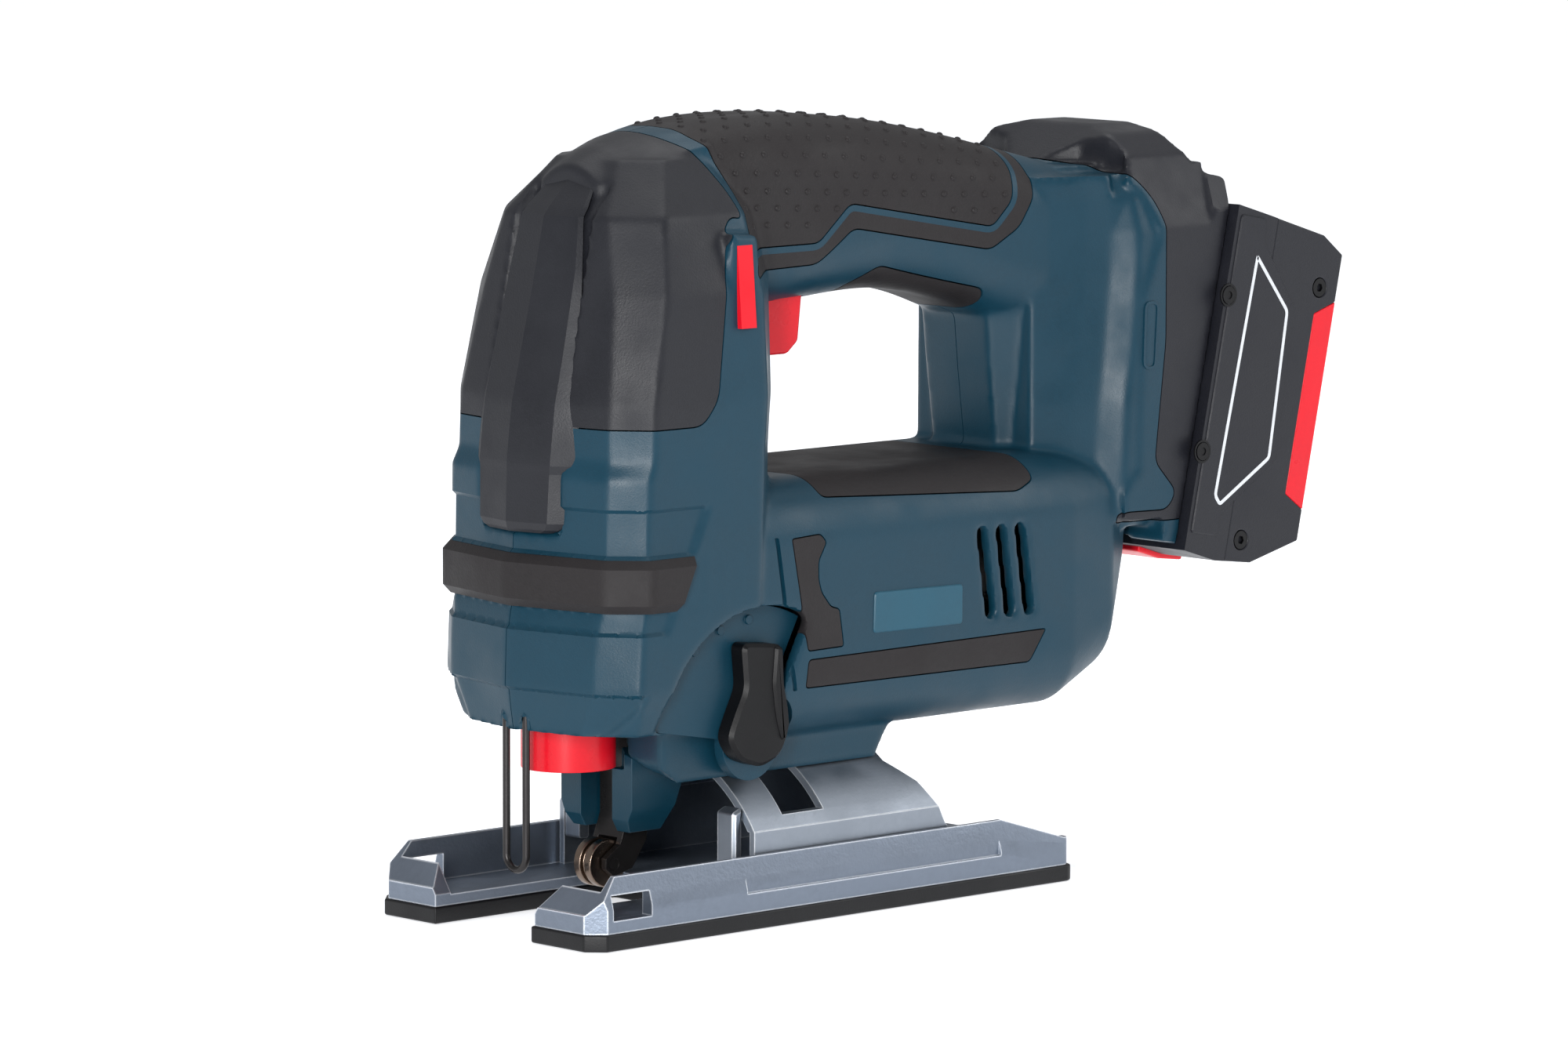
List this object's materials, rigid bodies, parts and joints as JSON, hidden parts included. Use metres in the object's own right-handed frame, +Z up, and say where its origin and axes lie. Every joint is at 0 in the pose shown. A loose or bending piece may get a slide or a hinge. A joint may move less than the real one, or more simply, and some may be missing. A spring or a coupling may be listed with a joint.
{
  "type": "cordless jigsaw",
  "caption": "Cordless jigsaw with a loop handle, tilting alloy base, roller-guided plunger with lever blade clamp, orbital lever and slide-on battery pack.",
  "frame": {"origin": "centre of the sole's underside, in the mid-plane", "axes": "+X from the nose to the battery, -Y towards the tool's left side, +Z up from the sole"},
  "size_m": [0.2547, 0.079, 0.1894],
  "materials": {
    "petrol_housing": "satin",
    "soft_grip": "matte",
    "soft_cover": "matte",
    "dark_frame": "satin",
    "red_plastic": "gloss",
    "base_alloy": "satin",
    "saddle_steel": "satin",
    "shoe_plastic": "matte",
    "black_plastic": "satin",
    "steel": "satin",
    "dark_steel": "satin",
    "zinc_screw": "satin",
    "bronze": "satin",
    "copper": "satin",
    "board_green": "satin",
    "lens": "polished",
    "cell_wrap": "satin"
  },
  "bodies": {
    "base": {"base_plate": "base_alloy", "glide_shoe": "shoe_plastic", "saddle": "saddle_steel"},
    "rotor": {"motor_shaft": "steel", "armature": "steel", "commutator": "copper", "fan": "black_plastic"},
    "gear": {"drive_gear": "steel", "crank_pin": "steel", "balance_weight": "steel"},
    "plunger_group": {"plunger": "steel", "crank_yoke": "steel", "blade_clamp": "steel"},
    "clamp_ring": {"clamp_lever": "red_plastic"},
    "fork": {"roller_fork": "dark_steel", "roller_pin": "dark_steel"},
    "roller_wheel": {"roller": "steel"},
    "orbital_control": {"orbital_lever": "black_plastic", "orbital_cam": "black_plastic"},
    "trigger_body": {"trigger": "red_plastic"},
    "lock_body": {"lock_button": "red_plastic"},
    "battery": {"pack_front_case": "dark_frame", "pack_rear_case": "dark_frame", "cells_front": "cell_wrap", "cells_rear": "cell_wrap", "red_strips": "red_plastic", "red_trim": "red_plastic", "pack_screws": "zinc_screw"},
    "release_body": {"release_button": "red_plastic"},
    "key_body": {"hex_key": "steel"},
    "tool": {"battery_foot": "dark_frame", "bearing_plate": "base_alloy", "bumper_ring": "soft_grip", "clamp_screw": "zinc_screw", "control_board": "board_green", "fork_legs": "petrol_housing", "fork_pin": "dark_steel", "front_bearing": "steel", "front_shield": "soft_cover", "gear_spindle": "steel", "grip_pad": "soft_grip", "guard_wire": "dark_steel", "handle_under_pad": "soft_grip", "head_cover": "soft_cover", "housing_left": "petrol_housing", "housing_right": "petrol_housing", "housing_screws": "zinc_screw", "key_tube": "black_plastic", "lower_bush": "bronze", "motor_can": "steel", "motor_magnets": "dark_steel", "orbital_dial": "petrol_housing", "palm_rest_pad": "soft_grip", "rear_bearing": "steel", "side_patch": "soft_grip", "side_stripe": "soft_grip", "switch": "black_plastic", "terminal_block": "black_plastic", "upper_bush": "bronze", "work_lamp": "lens"}
  },
  "joints": [
    {"name": "bevel_tilt", "type": "hinge", "parent": "base", "child": "tool", "pos_m": [0, 0, 0], "axis": [1, 0, 0], "range_deg": [-45, 45]},
    {"name": "motor_spin", "type": "hinge", "parent": "tool", "child": "rotor", "pos_m": [0.03, 0, 0.073], "axis": [1, 0, 0], "continuous": true},
    {"name": "gear_spin", "type": "hinge", "parent": "tool", "child": "gear", "pos_m": [-0.032, 0, 0.101], "axis": [1, 0, 0], "continuous": true},
    {"name": "plunger_stroke", "type": "slide", "parent": "tool", "child": "plunger_group", "axis": [0, 0, 1], "range_m": [-0.0115, 0.0115]},
    {"name": "clamp_ring_turn", "type": "hinge", "parent": "plunger_group", "child": "clamp_ring", "pos_m": [-0.052, 0, 0.043], "axis": [0, 0, 1], "range_deg": [0, 60], "stiffness_Nm_per_rad": 0.05, "springref_deg": -5.73},
    {"name": "roller_fork_swing", "type": "hinge", "parent": "tool", "child": "fork", "pos_m": [-0.034, 0, 0.054], "axis": [0, 1, 0], "range_deg": [-1.5, 1.5]},
    {"name": "roller_spin", "type": "hinge", "parent": "fork", "child": "roller_wheel", "pos_m": [-0.042, 0, 0.013], "axis": [0, 1, 0], "continuous": true},
    {"name": "orbital_turn", "type": "hinge", "parent": "tool", "child": "orbital_control", "pos_m": [-0.0201, -0.03, 0.0426], "axis": [0, -1, 0], "range_deg": [0, 54]},
    {"name": "trigger_pull", "type": "slide", "parent": "tool", "child": "trigger_body", "axis": [0, 0, 1], "range_m": [0, 0.0045], "stiffness_N_per_m": 500, "springref_m": -0.003},
    {"name": "lock_press", "type": "slide", "parent": "tool", "child": "lock_body", "axis": [0, 1, 0], "range_m": [-0.0012, 0.0012]},
    {"name": "battery_slide", "type": "slide", "parent": "tool", "child": "battery", "axis": [-0.2147, 0, -0.9767], "range_m": [0, 0.066]},
    {"name": "release_press", "type": "slide", "parent": "battery", "child": "release_body", "axis": [0.2147, 0, 0.9767], "range_m": [0, 0.0012], "stiffness_N_per_m": 1500, "springref_m": -0.001},
    {"name": "hex_key_pull", "type": "slide", "parent": "tool", "child": "key_body", "axis": [1, 0, 0], "range_m": [0, 0.003]}
  ],
  "couplings": [
    {"joint": "gear_spin", "follows": "motor_spin", "ratio": -0.16667}
  ]
}
